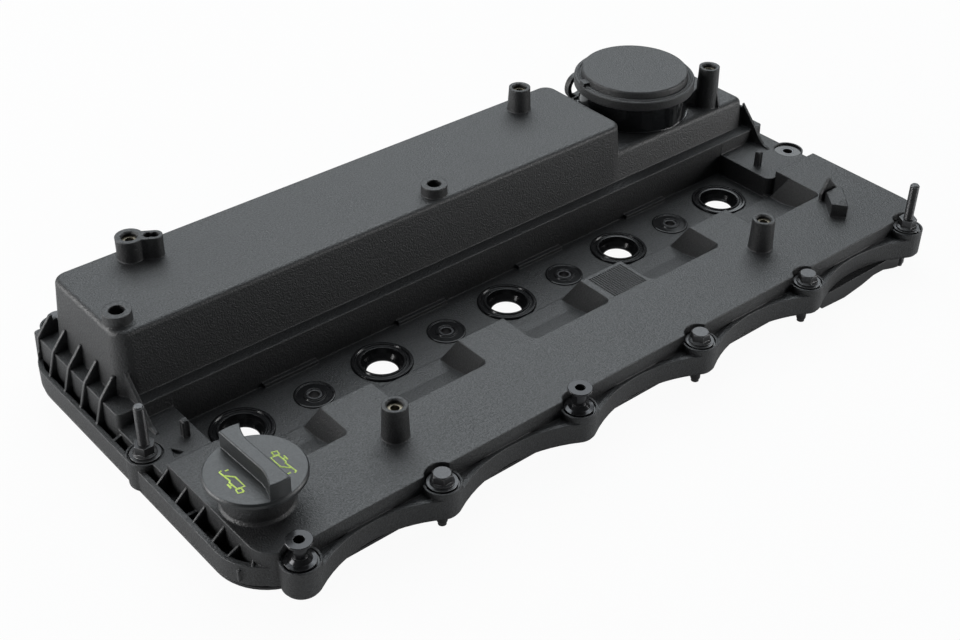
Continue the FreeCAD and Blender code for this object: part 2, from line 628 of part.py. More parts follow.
def cover_body():
    flange = rim_solid(0.0, rim_z, flange_z)
    skirt = rim_solid(0.0, rim_z, skirt_z).cut(rim_solid(skirt_wall, rim_z, skirt_z))
    boss_rounds = [disc(boss_radius, x, y, rim_z, boss_z) for x, y in bosses + mid_bosses]
    webs = rim_solid(0.0, rim_z, skirt_z - web_step)
    webs = webs.common(box(row_x[0], row_x[-1], -boss_row_y - boss_radius, tray_front + 1, rim_z, skirt_z))
    deck = box(valley_left - 4, valley_right + 4, tongue_back - 3, valley_back + 2, valley_z - valley_floor, rim_z + 1)
    outer = fuse([flange, skirt, webs, deck] + boss_rounds + [tray_outer()] + plate_outer() + housing_outer())
    valley = box(valley_left, valley_right, tray_back - 0.5, valley_back, valley_z, over_z)
    valley = valley.cut(box(valley_left - 1, valley_right + 1, valley_back - 0.01, valley_back + 1, 0, over_z))
    outer = outer.cut(valley)
    extras = left_ribs() + small_posts() + fins()
    for x in between_x:
        extras.append(box(x - bar_length / 2, x + bar_length / 2, valley_back - bar_width, valley_back + 0.5,
                          valley_z - 0.5, valley_z + bar_height))
    extras.append(disc(neck_radius, valve_x, valve_y, deck_z - wall, valve_flange_z))
    behind = box(valve_x - neck_radius, valve_x + neck_radius, box_back - box_draft - box_back_step, box_back + 5,
                 ledge_z - 0.5, deck_z)
    extras.append(disc(neck_radius, valve_x, valve_y, ledge_z - 0.5, deck_z).common(behind))
    extras.append(disc(valve_flange_radius, valve_x, valve_y, valve_flange_z - valve_flange_thickness,
                       valve_flange_z))
    extras.append(disc(filler_radius, filler_x, filler_y, tray_z - 1, filler_z))
    extras.append(cone(filler_radius + filler_foot, filler_radius, filler_x, filler_y, tray_z - 0.5,
                       tray_z + filler_foot))
    extras += outlet()
    outer = fuse([outer] + extras)

    hollow = fuse([tray_inner()] + plate_inner() + housing_inner())
    kept = [disc(boss_radius, x, y, rim_z, boss_z) for x, y in mid_bosses]
    kept += [disc(short_boss_radius - 1.5, x, y, box_z - insert_depth - 2, box_z) for x, y in short_bosses]
    kept.append(disc(short_boss_radius - 1.5, pair_boss[0], pair_boss[1], box_z - 6, box_z))
    hollow = hollow.cut(Part.makeCompound(kept))
    land_x = rim_half_length - joint_land
    land_y = rim_half_width - joint_land
    land = rim_solid(0.0, rim_z, flange_z).cut(
        slab(-land_x, land_x, -land_y, land_y, rim_corner - joint_land, rim_z, flange_z))
    hollow = hollow.cut(land)
    body = outer.cut(hollow)

    cuts = []
    for x, y in bosses + mid_bosses:
        cuts.append(disc(grommet_bore, x, y, rim_z + grommet_web, over_z))
        cuts.append(disc(sleeve_radius + 1.5, x, y, under_z, rim_z + grommet_web + 1))
    for x in injector_x:
        cuts.append(disc(seal_body_radius + seal_fit, x, valley_y, under_z, valley_z + 1))
    for x in between_x:
        cuts.append(disc(valley_grommet_body + seal_fit, x, valley_y, under_z, valley_z + 1))
    cuts.append(disc(filler_bore, filler_x, filler_y, tray_z - wall - 1, filler_z + 1))
    cuts.append(disc(neck_radius - wall, valve_x, valve_y, deck_z, valve_flange_z + 1))
    way = Vec(math.cos(math.radians(outlet_turn)), math.sin(math.radians(outlet_turn)), 0)
    mouth = Vec(valve_x, valve_y, joint_z + outlet_height) + way * 20
    cuts.append(Part.makeCylinder(outlet_bore, outlet_reach, mouth, way))
    notch = [Vec(valley_left - 19.3, valley_y - 5.0, plate_z - 2), Vec(valley_left - 15.2, valley_y - 11.5, plate_z - 2),
             Vec(valley_left - 21.0, valley_y - 12.0, plate_z - 2)]
    cuts.append(Part.Face(Part.makePolygon(notch + notch[:1])).extrude(Vec(0, 0, 4)))
    for x, y, z in insert_places():
        cuts.append(disc(insert_radius, x, y, z - insert_depth, z + 1))
        cuts.append(cone(insert_radius, insert_radius + 1.0, x, y, z - 0.8, z + 0.2))
    for x, y in short_bosses:
        cuts.append(disc(insert_radius, x, y, box_z + short_boss_height - insert_depth, box_z + short_boss_height + 1))
    cuts.append(disc(slot_boss_radius - 2, slot_boss[0] - 3, slot_boss[1] + 1.9, box_z + 4, over_z))
    cuts.append(disc(slot_boss_radius - 2, slot_boss[0], slot_boss[1], box_z + 4, over_z))
    body = body.cut(Part.makeCompound(cuts)).cut(Part.makeCompound(hatch_grooves()))

    seat = tube(seat_radius, seat_bore, valve_x, valve_y, deck_z - wall, seat_z)
    body = body.fuse(seat).cut(disc(seat_bore, valve_x, valve_y, deck_z - wall - 1, seat_z + 1))
    ledges = tube(filler_bore + 1, cap_plug_radius + 0.6, filler_x, filler_y, tray_z - 2, tray_z + 1)
    slots = [box(-cap_lug_reach - 1, cap_lug_reach + 1, -6, 6, 0, 10)]
    slots[0].rotate(Vec(0, 0, 0), Vec(0, 0, 1), cap_turn_start + 90)
    slots[0].translate(Vec(filler_x, filler_y, tray_z - 5))
    body = body.fuse(ledges.cut(slots[0]))
    return body.removeSplitter()


def baffle_plate():
    z1 = ledge_z - wall
    z0 = z1 - baffle_thickness
    gap = wall + baffle_gap
    plate = slab(block_left + gap, block_right - gap, valley_back + gap, block_back - gap,
                 block_corner - wall, z0, z1)
    middle = (valley_back + block_back) / 2
    drain_x = (injector_x[0], between_x[2] + 17.5)
    drains = [tube(drain_radius, drain_bore, x, middle, z0 - drain_depth, z1) for x in drain_x]
    plate = fuse([plate] + drains)
    holes = [disc(drain_bore, x, middle, z0 - drain_depth - 1, z1 + 1) for x in drain_x]
    for i in range(slot_count):
        x = between_x[0] + 31.5 + 2 * slot_width * i
        holes.append(box(x, x + slot_width, middle + 2 - slot_length / 2, middle + 2 + slot_length / 2, z0 - 1, z1 + 1))
    plate = plate.cut(Part.makeCompound(holes))
    walls = []
    for i in range(baffle_walls):
        x = injector_x[0] + 30 + 70 * i
        span = (box_front + wall + 4, middle + 4) if i % 2 else (middle - 16, box_back - wall - 5)
        walls.append(box(x, x + baffle_wall, span[0], span[1], z1 - 0.5, box_z - wall - 5))
    return fuse([plate] + walls)


def gasket():
    inset = 1.0
    outer = rim_solid(inset, joint_z, rim_z)
    land_x = rim_half_length - joint_land
    land_y = rim_half_width - joint_land
    opening = slab(-land_x, land_x, -land_y, land_y, rim_corner - joint_land, under_z, over_z)
    keep = [disc(boss_radius, x, y, joint_z, rim_z) for x, y in mid_bosses]
    holes = [disc(sleeve_radius + 1.5, x, y, under_z, over_z) for x, y in bosses + mid_bosses]
    half_l = rim_half_length - bead_inset
    half_w = scallop_y - bead_inset
    bead = slab(-half_l, half_l, -half_w, half_w, rim_corner + 3, joint_z - bead_height, joint_z + 0.2)
    half_l -= bead_width
    half_w -= bead_width
    bead = bead.cut(slab(-half_l, half_l, -half_w, half_w, rim_corner + 3 - bead_width, under_z, over_z))
    ring = fuse([outer.cut(opening), bead] + keep)
    left = row_x[-2] + 7.0
    right = row_x[-1] + 6.0
    y = -boss_row_y - apron_offset
    outline = [(left, joint_z + 1.4)]
    for share, drop in ((0.1, 0.8), (0.33, 0.93), (0.5, 0.72), (0.62, 0.46), (0.72, 0.48), (0.84, 0.8), (0.94, 0.95)):
        outline.append((left + (right - left) * share, joint_z - apron_drop * drop))
    outline.append((right, joint_z + 1.4))
    apron = prism_y(outline, y, y + apron_thickness)
    shelf = box(left + 4, right - 8, y, -rim_half_width + 6, joint_z, rim_z - 0.1)
    return fuse([ring, apron, shelf]).cut(Part.makeCompound(holes))


def boss_grommet(x, y):
    low = rim_z + grommet_web
    top = boss_z - washer_thickness + 0.4
    return revolve([(sleeve_radius, rim_z), (sleeve_radius + 1.4, rim_z), (sleeve_radius + 1.4, low),
                    (grommet_bore - grommet_gap, low), (grommet_bore - grommet_gap, low + 4),
                    (grommet_bore - 1.2, low + 5), (grommet_bore - 1.2, top - 2),
                    (grommet_bore - grommet_gap, top - 1), (grommet_bore - grommet_gap, top),
                    (sleeve_radius, top)], x, y)


def boss_sleeve(x, y):
    return tube(sleeve_radius, sleeve_bore, x, y, rim_z, boss_z - washer_thickness + 0.4)


def washer(x, y):
    z0 = boss_z - washer_thickness + 0.4
    return tube(washer_radius, sleeve_bore, x, y, z0, z0 + washer_thickness)


def hex_bolt(x, y):
    seat = boss_z + 0.4
    flange = revolve([(0, seat), (head_flange_radius, seat), (head_flange_radius, seat + 0.5),
                      (head_flange_radius - 1.4, seat + head_flange_height), (0, seat + head_flange_height)], x, y)
    head = hexagon(head_across_flats, x, y, seat, seat + head_flange_height + head_height)
    crown = revolve([(0, seat), (head_across_flats / 2 + 1.2, seat),
                     (head_across_flats / 2 + 1.2, seat + head_flange_height + head_height - 1.2),
                     (head_across_flats / 2 - 0.4, seat + head_flange_height + head_height),
                     (0, seat + head_flange_height + head_height)], x, y)
    shank = revolve([(0, 0), (tip_radius, 0), (tip_radius, tip_length - 1), (screw_radius, tip_length + 0.5),
                     (screw_radius, seat), (0, seat)], x, y)
    return fuse([head.common(crown), flange, shank])


def stud(x, y):
    top = joint_z + stud_top
    return revolve([(0, 0), (tip_radius, 0), (tip_radius, tip_length - 1), (screw_radius, tip_length + 0.5),
                    (screw_radius, top - 1), (screw_radius - 0.8, top), (0, top)], x, y)


def stud_nut(x, y):
    seat = boss_z + 0.4
    flange = revolve([(screw_radius, seat), (head_flange_radius, seat), (head_flange_radius, seat + 0.5),
                      (head_flange_radius - 1.4, seat + head_flange_height),
                      (screw_radius, seat + head_flange_height)], x, y)
    body = hexagon(head_across_flats, x, y, seat, seat + head_flange_height + nut_height)
    body = body.cut(disc(screw_radius, x, y, seat - 1, seat + nut_height + 5))
    return fuse([flange, body])


def spool(x, y):
    z0 = boss_z - washer_thickness + 0.4
    z1 = boss_z + spool_height
    return revolve([(sleeve_bore - 0.4, rim_z + 1), (sleeve_bore - 0.05, rim_z + 1), (sleeve_bore - 0.05, z0),
                    (washer_radius, z0), (washer_radius, z0 + washer_thickness),
                    (spool_stem_radius + 2.2, z0 + washer_thickness + 0.6),
                    (spool_stem_radius + 0.6, z0 + washer_thickness + 2.2),
                    (spool_stem_radius, z0 + washer_thickness + 2.6), (spool_stem_radius, z1 - spool_flange - 1),
                    (spool_stem_radius + 1, z1 - spool_flange), (spool_top_radius, z1 - spool_flange),
                    (spool_top_radius, z1 - 0.3), (spool_top_radius - 0.3, z1), (sleeve_bore - 0.4, z1)], x, y)


def injector_seal(x):
    z0 = valley_z - seal_depth
    r = seal_radius
    body = seal_body_radius
    return revolve([(body - 2.0, z0), (body, z0), (body, valley_z), (r, valley_z), (r, valley_z + 0.8),
                    (r - 0.6, valley_z + seal_flange), (r - 2.0, valley_z + seal_flange),
                    (r - 2.6, valley_z + 0.5), (r - 4.0, valley_z + 0.5), (r - 4.6, valley_z + seal_flange),
                    (r - 5.8, valley_z + seal_flange - 0.2), (seal_bore + 2.4, valley_z - 2.0),
                    (seal_bore + 0.8, valley_z - 4.6), (seal_bore, valley_z - 5.2), (seal_bore, valley_z - 6.2),
                    (seal_bore + 1.2, valley_z - 6.6), (body - 2.0, valley_z - 4.6)], x, valley_y)


def valley_grommet(x):
    z0 = valley_z - valley_grommet_depth
    r = valley_grommet_radius
    top = valley_z + valley_grommet_rise
    return revolve([(sleeve_radius, z0), (valley_grommet_body, z0), (valley_grommet_body, valley_z),
                    (r, valley_z), (r, top - 0.2), (r - 0.5, top), (r - 1.4, top), (r - 1.8, top - 0.4),
                    (sleeve_radius + 2.2, top - 0.4), (sleeve_radius + 1.8, top + 0.3),
                    (sleeve_radius + 0.4, top + 0.3), (sleeve_radius, top)], x, valley_y)


def valley_sleeve(x):
    z0 = valley_z - valley_grommet_depth
    return tube(sleeve_radius, sleeve_bore, x, valley_y, z0, valley_z + valley_grommet_rise - 0.2)


def threaded_insert(x, y, z):
    top = z - insert_sink
    return tube(insert_radius, insert_bore, x, y, top - insert_length, top)


def filler_cap():
    z0 = filler_z + cap_gap
    z1 = z0 + cap_thickness
    disc_part = revolve([(0, z0), (cap_radius - 1.0, z0), (cap_radius, z0 + 1.0), (cap_radius, z1 - 1.2),
                         (cap_radius - 0.8, z1), (0, z1)], 0, 0)
    plug_low = filler_z - cap_plug_depth - 4
    plug = tube(cap_plug_radius, cap_plug_radius - 2.2, 0, 0, plug_low, z0 + 0.5)
    half_l = cap_handle_length / 2
    half_w = cap_handle_width / 2
    waist = cap_handle_waist / 2
    place = cap_waist_place
    z = z1 - 0.5
    edges = []
    for side in (1, -1):
        far = Vec(side * half_l, side * half_w, z)
        narrow = Vec(-side * place, side * waist, z)
        bend = Vec(-side * (place + half_l) / 2, side * (waist + (half_w - waist) * 0.3), z)
        near = Vec(-side * half_l, side * half_w, z)
        edges.append(Part.makeLine(far, narrow))
        edges.append(Part.Arc(narrow, bend, near).toShape())
        crown = Vec(-side * (half_l + cap_handle_crown), 0, z)
        edges.append(Part.Arc(near, crown, Vec(-side * half_l, -side * half_w, z)).toShape())
    outline = Part.Wire(edges)
    handle = Part.Face(outline).extrude(Vec(0, 0, cap_handle_height + 0.5))
    handle = handle.makeFillet(0.8, [e for e in handle.Edges
                                     if min(v.Point.z for v in e.Vertexes) > z1 + cap_handle_height - 0.1])
    lug_z = tray_z - 2 - cap_gap - cap_lug_height
    lug = tube(cap_lug_reach, cap_plug_radius - 1, 0, 0, lug_z, lug_z + cap_lug_height)
    wedge = box(-cap_lug_reach - 1, cap_lug_reach + 1, -5, 5, lug_z - 1, lug_z + cap_lug_height + 1)
    lugs = lug.common(wedge)
    plug = fuse([plug, tube(cap_plug_radius, cap_plug_radius - 2.2, 0, 0, lug_z, plug_low + 0.5)])
    cap = fuse([disc_part, plug, handle, lugs])
    cap.rotate(Vec(0, 0, 0), Vec(0, 0, 1), cap_turn_start)
    cap.translate(Vec(filler_x, filler_y, 0))
    return cap


def cap_seal():
    r_in = cap_plug_radius + 0.3
    return tube(r_in + cap_seal_width, r_in, filler_x, filler_y, filler_z + cap_gap - cap_seal_thickness,
                filler_z + cap_gap)


def breather_lid():
    z0 = valve_flange_z
    low = z0 - valve_flange_thickness - lid_hook
    high = z0 + lid_shoulder - 0.4
    top = z0 + lid_room + lid_rise + 0.4
    r = lid_radius
    shape = revolve([(r - lid_wall - lid_hook, low), (r - 0.5, low), (r, low + 0.5), (r, high - 1.4),
                     (r - 0.5, high - 0.9), (r - 1.6, high - 0.9), (r - 2.2, high), (r - 3.0, high),
                     (r - 3.3, high - lid_groove), (lid_top_radius + 0.5, high - lid_groove),
                     (lid_top_radius, top - 0.8), (lid_top_radius - 0.8, top), (0, top), (0, top - lid_wall),
                     (lid_top_radius - lid_wall - 3, top - lid_wall), (lid_top_radius - lid_wall - 3, z0 + lid_room),
                     (r - lid_wall, z0 + lid_room), (r - lid_wall, low + lid_hook),
                     (r - lid_wall - lid_hook, low + lid_hook)], valve_x, valve_y)
    lug = box(lid_top_radius - 2, r - 0.6, -lid_lug / 2, lid_lug / 2, high - 1.5, high + 1.6)
    lug.rotate(Vec(0, 0, 0), Vec(0, 0, 1), lid_lug_turn)
    lug.translate(Vec(valve_x, valve_y, 0))
    return fuse([shape, lug])


def plunger():
    low = seat_z + valve_travel + valve_gap
    high = low + plunger_plate
    stop = valve_flange_z + lid_room + lid_rise + 0.4 - lid_wall - valve_gap
    return revolve([(0, low), (plunger_radius - 1.6, low), (plunger_radius - 1.6, low - 1.5),
                    (plunger_radius, low - 1.5), (plunger_radius, high), (plunger_boss, high),
                    (plunger_boss, stop), (0, stop)], valve_x, valve_y)


def diaphragm():
    low = seat_z + valve_travel + valve_gap + plunger_plate
    z0 = valve_flange_z
    t = diaphragm_skin
    r = neck_radius - wall
    return revolve([(plunger_boss, low), (plunger_radius + 1, low), (plunger_radius + 6, low + 4),
                    (r - 8, low + 1), (r - 3, low - 1), (r - 1.5, low), (r - 0.5, z0), (lid_radius - lid_wall - 0.3, z0),
                    (lid_radius - lid_wall - 0.3, z0 + diaphragm_bead), (r - 1.0, z0 + diaphragm_bead),
                    (r - 2.6, low + 1.5), (r - 3.6, low + t - 1), (r - 8, low + 1 + t), (plunger_radius + 6.5, low + 4 + t),
                    (plunger_radius + 5.5, low + 4 + t), (plunger_radius + 0.5, low + t), (plunger_boss, low + t)],
                   valve_x, valve_y)


def valve_spring():
    low = deck_z + spring_wire
    high = seat_z + valve_travel + valve_gap - spring_wire
    count = spring_turns * spring_steps
    points = []
    for i in range(count + 1):
        turn = math.radians(360.0 * i / spring_steps)
        points.append(Vec(spring_radius * math.cos(turn), spring_radius * math.sin(turn), low + (high - low) * i / count))
    curve = Part.BSplineCurve()
    curve.interpolate(points)
    section = Part.Wire([Part.Circle(points[0], curve.tangent(curve.FirstParameter)[0], spring_wire).toShape()])
    coil = Part.Wire(curve.toShape()).makePipeShell([section], True, True)
    coil.translate(Vec(valve_x, valve_y, 0))
    return coil


def save(name, shape):
    shape.exportStep("parts/" + name + ".step")
    print(name, round(shape.Volume / 1000.0, 2), "cm3", "solids", len(shape.Solids), "valid", shape.isValid())


def main():
    os.makedirs("parts", exist_ok=True)
    save("cover_body", cover_body())
    save("separator_baffle", baffle_plate())
    save("perimeter_gasket", gasket())
    for i, x in enumerate(injector_x):
        save("injector_seal_%d" % (i + 1), injector_seal(x))
    for i, x in enumerate(between_x):
        save("valley_grommet_%d" % (i + 1), valley_grommet(x))
    save("valley_sleeves", Part.makeCompound([valley_sleeve(x) for x in between_x]))
    every = bosses + mid_bosses
    save("boss_grommets", Part.makeCompound([boss_grommet(x, y) for x, y in every]))
    save("boss_sleeves", Part.makeCompound([boss_sleeve(x, y) for x, y in every]))
    spool_places = [bosses[0], bosses[2]]
    stud_places = [bosses[5], mid_bosses[0]]
    bolt_places = [b for b in bosses if b not in spool_places + stud_places]
    save("washers", Part.makeCompound([washer(x, y) for x, y in bolt_places + stud_places]))
    save("hex_bolts", Part.makeCompound([hex_bolt(x, y) for x, y in bolt_places]))
    for name, place in zip(("spool_left", "spool_middle"), spool_places):
        save(name, spool(*place))
    for name, place in zip(("right", "left"), stud_places):
        save("stud_" + name, stud(*place))
        save("stud_nut_" + name, stud_nut(*place))
    names = ("post_a", "post_b", "post_c", "post_d", "pair_boss")
    for name, place in zip(names, insert_places()):
        save("insert_" + name, threaded_insert(*place))
    save("oil_filler_cap", filler_cap())
    save("cap_seal", cap_seal())
    save("breather_lid", breather_lid())
    save("breather_diaphragm", diaphragm())
    save("breather_plunger", plunger())
    save("breather_spring", valve_spring())


main()
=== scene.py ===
import math

import bpy
from mathutils import Matrix, Vector


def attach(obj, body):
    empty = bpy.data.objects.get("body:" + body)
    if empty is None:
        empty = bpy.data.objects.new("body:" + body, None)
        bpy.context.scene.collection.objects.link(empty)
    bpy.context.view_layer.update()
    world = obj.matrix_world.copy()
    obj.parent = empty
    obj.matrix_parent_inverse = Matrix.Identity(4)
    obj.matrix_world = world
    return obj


# A moulded valve cover on a white table. Metres, in the frame of the solids:
# X runs along the engine, Y points to the oil separator, Z is up.
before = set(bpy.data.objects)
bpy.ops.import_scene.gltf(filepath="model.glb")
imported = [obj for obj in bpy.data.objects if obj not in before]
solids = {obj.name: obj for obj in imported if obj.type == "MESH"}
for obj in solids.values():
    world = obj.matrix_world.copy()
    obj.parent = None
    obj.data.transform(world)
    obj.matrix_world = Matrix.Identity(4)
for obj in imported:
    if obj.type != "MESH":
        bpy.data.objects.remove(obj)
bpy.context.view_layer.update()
bpy.ops.object.select_all(action="DESELECT")

# Camera: seen from the front left and above, with a slight roll, as in the
# photograph. The lens is the one that the spacing of the seals asks for.
look_at = Vector((-0.03098, -0.01278, 0.0145))
camera_turn = math.radians(-40.73)
camera_height = math.radians(35.93)
camera_roll = math.radians(0.99)
camera_distance = 0.91141
aim = (Matrix.Rotation(camera_turn, 4, "Z")
       @ Matrix.Rotation(math.pi / 2 - camera_height, 4, "X")
       @ Matrix.Rotation(camera_roll, 4, "Z"))
backwards = (aim @ Vector((0, 0, 1, 0))).to_3d()
bpy.ops.object.camera_add(location=look_at + backwards * camera_distance,
                          rotation=aim.to_euler())
camera = bpy.context.object
camera.name = "camera"
camera.data.lens = 55.84
camera.data.sensor_width = 36.0
camera.data.clip_start = 0.01
bpy.context.scene.camera = camera
bpy.context.scene.view_settings.view_transform = "Standard"

# Table: a white top that keeps a faint shadow of the cover. The camera sees
# it nearly white, and metal mirrors a little of that white.
table_size = 12.0
table_drop = 0.0002             # under the bolt tips, which stand at zero
table_grey = 0.62
white_seen = 0.95
white_mirrored = 0.15
bpy.ops.mesh.primitive_plane_add(size=table_size, location=(0, 0, -table_drop))
table = bpy.context.object
table.name = "table"
white = bpy.data.materials.new("white_table")
white.use_nodes = True
made = white.node_tree.nodes
link = white.node_tree.links.new
surface = made["Principled BSDF"]
surface.inputs["Base Color"].default_value = (table_grey, table_grey, table_grey, 1)
surface.inputs["Roughness"].default_value = 0.7
surface.inputs["Specular IOR Level"].default_value = 0.2
glow = made.new("ShaderNodeEmission")
glow.inputs["Color"].default_value = (1, 1, 1, 1)
glow.inputs["Strength"].default_value = 1.0
seen = made.new("ShaderNodeLightPath")
direct = made.new("ShaderNodeMath")
direct.operation = "MULTIPLY"
direct.inputs[1].default_value = white_seen
mirrored = made.new("ShaderNodeMath")
mirrored.operation = "MAXIMUM"
share = made.new("ShaderNodeMath")
share.operation = "MULTIPLY_ADD"
share.inputs[1].default_value = white_mirrored
blend = made.new("ShaderNodeMixShader")
link(seen.outputs["Is Camera Ray"], direct.inputs[0])
link(seen.outputs["Is Glossy Ray"], mirrored.inputs[0])
link(seen.outputs["Is Transmission Ray"], mirrored.inputs[1])
link(mirrored.outputs[0], share.inputs[0])
link(direct.outputs[0], share.inputs[2])
link(share.outputs[0], blend.inputs["Fac"])
link(surface.outputs["BSDF"], blend.inputs[1])
link(glow.outputs["Emission"], blend.inputs[2])
link(blend.outputs["Shader"], made["Material Output"].inputs["Surface"])
table.data.materials.append(white)

# Studio: a dim even room that the camera sees white, a wide soft box behind
# the cover, one above it and a low one at each end.
room_light = 0.06
room_tint = (0.93, 0.96, 1.0, 1)
room = bpy.data.worlds.new("white_room")
room.use_nodes = True
bpy.context.scene.world = room
made = room.node_tree.nodes
link = room.node_tree.links.new
even = made["Background"]
even.inputs["Color"].default_value = room_tint
even.inputs["Strength"].default_value = room_light
bright = made.new("ShaderNodeBackground")
bright.inputs["Color"].default_value = (1, 1, 1, 1)
bright.inputs["Strength"].default_value = 1.0
seen = made.new("ShaderNodeLightPath")
blend = made.new("ShaderNodeMixShader")
link(seen.outputs["Is Camera Ray"], blend.inputs["Fac"])
link(even.outputs["Background"], blend.inputs[1])
link(bright.outputs["Background"], blend.inputs[2])
link(blend.outputs["Shader"], made["World Output"].inputs["Surface"])


def soft_box(name, place, width, height, power, tint=(1, 1, 1)):
    """A rectangular studio light that faces the cover."""
    facing = (Vector((0, 0, 0.04)) - Vector(place)).to_track_quat("-Z", "Y")
    bpy.ops.object.light_add(type="AREA", location=place, rotation=facing.to_euler())
    lamp = bpy.context.object
    lamp.name = name
    lamp.data.shape = "RECTANGLE"
    lamp.data.size = width
    lamp.data.size_y = height
    lamp.data.energy = power
    lamp.data.color = tint


daylight = (0.91, 0.965, 1.0)
soft_box("back_soft_box", (1.35, 1.90, 2.3), width=3.4, height=2.4, power=74.0, tint=daylight)
soft_box("top_soft_box", (0.4, 0.5, 2.4), width=2.4, height=2.0, power=22.0, tint=daylight)
soft_box("left_soft_box", (-1.6, 0.9, 0.55), width=1.6, height=0.9, power=34.0)
soft_box("right_soft_box", (1.45, -1.3, 0.35), width=1.4, height=0.6, power=17.0)

# Moulded nylon: black glass-filled plastic with a fine spark-eroded grain, for
# the welded baffle and the valve's snapped-on lid. Two groups serve every
# finish here: the grain, and the small radius that light catches on an edge.
grain = bpy.data.node_groups.new("mould_grain", "ShaderNodeTree")
grain.interface.new_socket("Fineness", in_out="INPUT", socket_type="NodeSocketFloat")
grain.interface.new_socket("Height", in_out="OUTPUT", socket_type="NodeSocketFloat")
grain.interface.new_socket("Mottle", in_out="OUTPUT", socket_type="NodeSocketFloat")
grain.interface.new_socket("Speckle", in_out="OUTPUT", socket_type="NodeSocketFloat")
ends = grain.nodes.new("NodeGroupInput")
out = grain.nodes.new("NodeGroupOutput")
place = grain.nodes.new("ShaderNodeTexCoord")
fine = grain.nodes.new("ShaderNodeTexNoise")
fine.inputs["Detail"].default_value = 3.0
fine.inputs["Roughness"].default_value = 0.65
broad = grain.nodes.new("ShaderNodeTexNoise")
broad.inputs["Scale"].default_value = 22.0
broad.inputs["Detail"].default_value = 4.0
spots = grain.nodes.new("ShaderNodeTexNoise")
spots.inputs["Scale"].default_value = 950.0
spots.inputs["Detail"].default_value = 1.0
picked = grain.nodes.new("ShaderNodeMapRange")
picked.inputs["From Min"].default_value = 0.3
picked.inputs["From Max"].default_value = 0.7
grain.links.new(place.outputs["Object"], spots.inputs["Vector"])
grain.links.new(spots.outputs["Fac"], picked.inputs["Value"])
grain.links.new(picked.outputs["Result"], out.inputs["Speckle"])
grain.links.new(place.outputs["Object"], fine.inputs["Vector"])
grain.links.new(place.outputs["Object"], broad.inputs["Vector"])
grain.links.new(ends.outputs["Fineness"], fine.inputs["Scale"])
grain.links.new(fine.outputs["Fac"], out.inputs["Height"])
grain.links.new(broad.outputs["Fac"], out.inputs["Mottle"])

edge = bpy.data.node_groups.new("soft_edge", "ShaderNodeTree")
edge.interface.new_socket("Radius", in_out="INPUT", socket_type="NodeSocketFloat")
edge.interface.new_socket("Normal", in_out="OUTPUT", socket_type="NodeSocketVector")
edge.interface.new_socket("Edge", in_out="OUTPUT", socket_type="NodeSocketFloat")
ends = edge.nodes.new("NodeGroupInput")
out = edge.nodes.new("NodeGroupOutput")
rounding = edge.nodes.new("ShaderNodeBevel")
rounding.samples = 6
flat = edge.nodes.new("ShaderNodeNewGeometry")
match = edge.nodes.new("ShaderNodeVectorMath")
match.operation = "DOT_PRODUCT"
turned = edge.nodes.new("ShaderNodeMapRange")
turned.inputs["From Min"].default_value = 0.995
turned.inputs["From Max"].default_value = 0.80
edge.links.new(ends.outputs["Radius"], rounding.inputs["Radius"])
edge.links.new(rounding.outputs["Normal"], match.inputs[0])
edge.links.new(flat.outputs["Normal"], match.inputs[1])
edge.links.new(match.outputs["Value"], turned.inputs["Value"])
edge.links.new(rounding.outputs["Normal"], out.inputs["Normal"])
edge.links.new(turned.outputs["Result"], out.inputs["Edge"])


